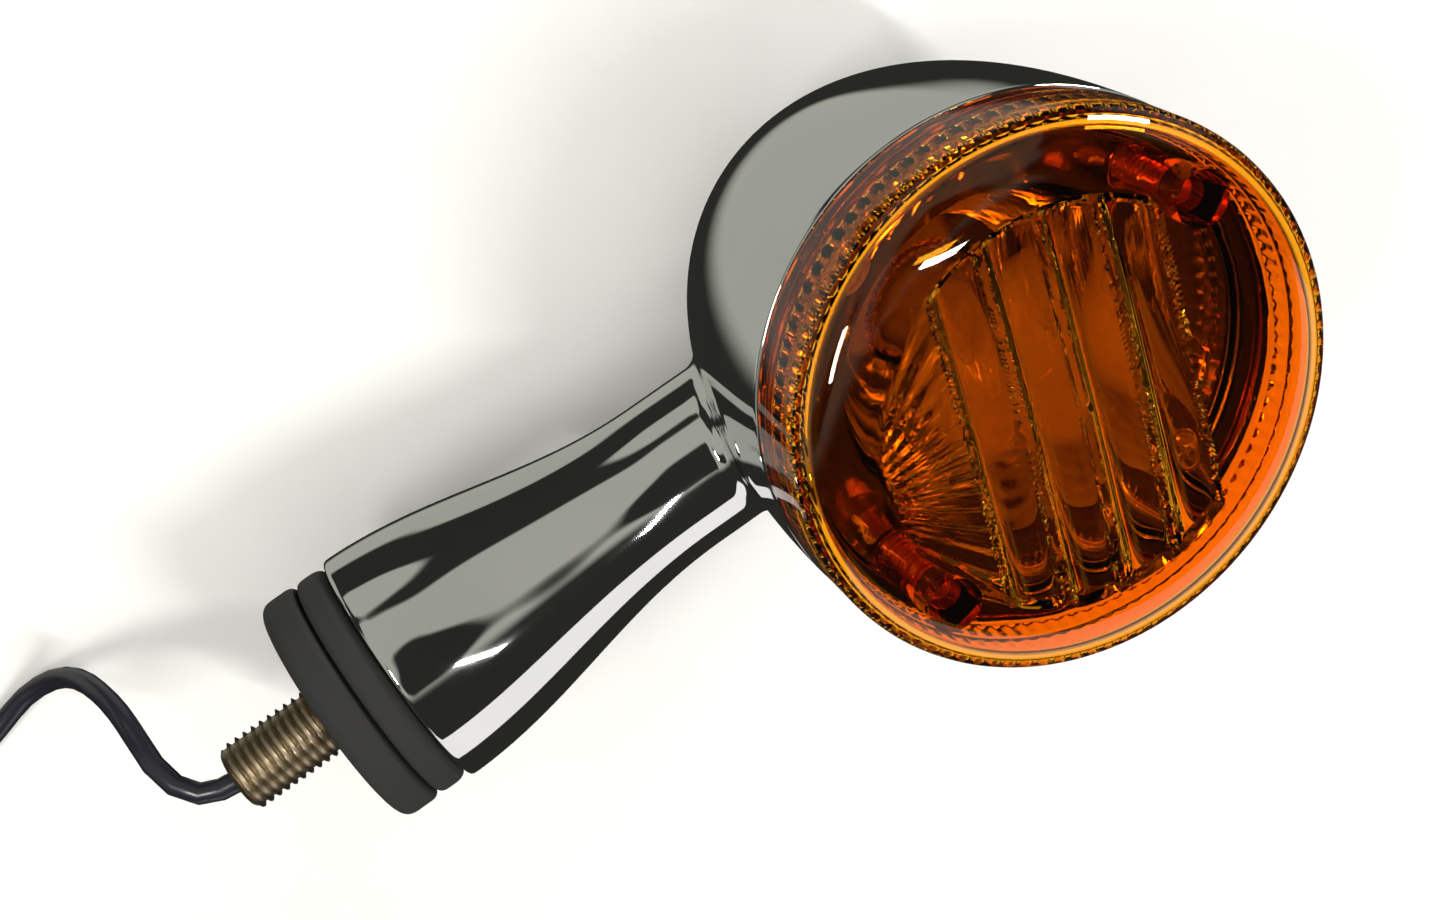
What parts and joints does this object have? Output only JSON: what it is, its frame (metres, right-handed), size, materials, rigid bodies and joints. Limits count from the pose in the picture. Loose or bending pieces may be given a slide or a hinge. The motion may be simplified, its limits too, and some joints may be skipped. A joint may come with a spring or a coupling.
{
  "type": "turn signal indicator",
  "caption": "Round bullet turn signal: chrome bowl on a flared stalk, amber domed lens, bayonet bulb, rubber damper, hollow threaded stud and a lead with bullet ends.",
  "frame": {"origin": "on the stud's axis, where the damper's back face meets the bracket", "axes": "+X along the stalk from the bracket to the lamp, +Z the way the lens faces"},
  "size_m": [0.2172, 0.0985, 0.0864],
  "materials": {
    "chrome": "polished chrome plate on zinc die-casting",
    "yellow_zinc": "yellow-passivated zinc plate on steel",
    "damper_rubber": "matte moulded rubber",
    "gasket_rubber": "matte sheet rubber",
    "amber_lens": "clear amber moulded plastic",
    "screw_steel": "bright zinc-plated steel",
    "spring_steel": "drawn spring wire",
    "bright_aluminium": "polished and lacquered",
    "socket_brass": "pressed brass",
    "cap_brass": "nickelled brass cap",
    "bullet_brass": "bright pressed brass",
    "solder": "solder button",
    "phenolic": "phenolic paper board",
    "bulb_glass": "clear glass",
    "tungsten": "filament wire",
    "black_vinyl": "soft black vinyl",
    "blue_vinyl": "soft blue vinyl",
    "clear_vinyl": "clear soft vinyl",
    "tie_plastic": "moulded nylon strap"
  },
  "bodies": {
    "lamp_body": {"housing": "chrome", "stud": "yellow_zinc", "mount_damper": "damper_rubber", "lens_gasket": "gasket_rubber", "lens_screw_1": "screw_steel", "lens_screw_2": "screw_steel", "reflector": "bright_aluminium", "reflector_screw_1": "screw_steel", "reflector_screw_2": "screw_steel", "socket_shell": "socket_brass", "socket_rivet_1": "socket_brass", "socket_rivet_2": "socket_brass", "socket_insulator": "phenolic", "contact_spring": "spring_steel", "earth_terminal": "socket_brass", "earth_screw": "screw_steel", "lead_inner": "black_vinyl", "signal_wire": "blue_vinyl", "earth_wire": "black_vinyl", "lead": "black_vinyl", "lead_coil": "black_vinyl", "coil_tie": "tie_plastic", "tail_signal": "blue_vinyl", "tail_earth": "black_vinyl", "bullet_signal": "bullet_brass", "bullet_earth": "bullet_brass", "bullet_sleeve_signal": "clear_vinyl", "bullet_sleeve_earth": "clear_vinyl"},
    "lens_cover": {"lens": "amber_lens"},
    "contact_plunger": {"contact_carrier": "phenolic", "contact_pin": "socket_brass"},
    "bulb": {"bulb_cap": "cap_brass", "bulb_contact": "solder", "bulb_glass": "bulb_glass", "bulb_stem": "bulb_glass", "bulb_filament": "tungsten"}
  },
  "joints": [
    {"name": "lens_release", "type": "slide", "parent": "lamp_body", "child": "lens_cover", "axis": [0, 0, 1], "range_m": [0, 0.05]},
    {"name": "bulb_push", "type": "slide", "parent": "lamp_body", "child": "contact_plunger", "axis": [0, 0, -1], "range_m": [0, 0.002], "stiffness_N_per_m": 1500, "springref_m": -0.002, "deforming": ["contact_spring"]},
    {"name": "bulb_twist", "type": "hinge", "parent": "contact_plunger", "child": "bulb", "pos_m": [0.095, 0, 0], "axis": [0, 0, 1], "range_deg": [0, 20]}
  ]
}
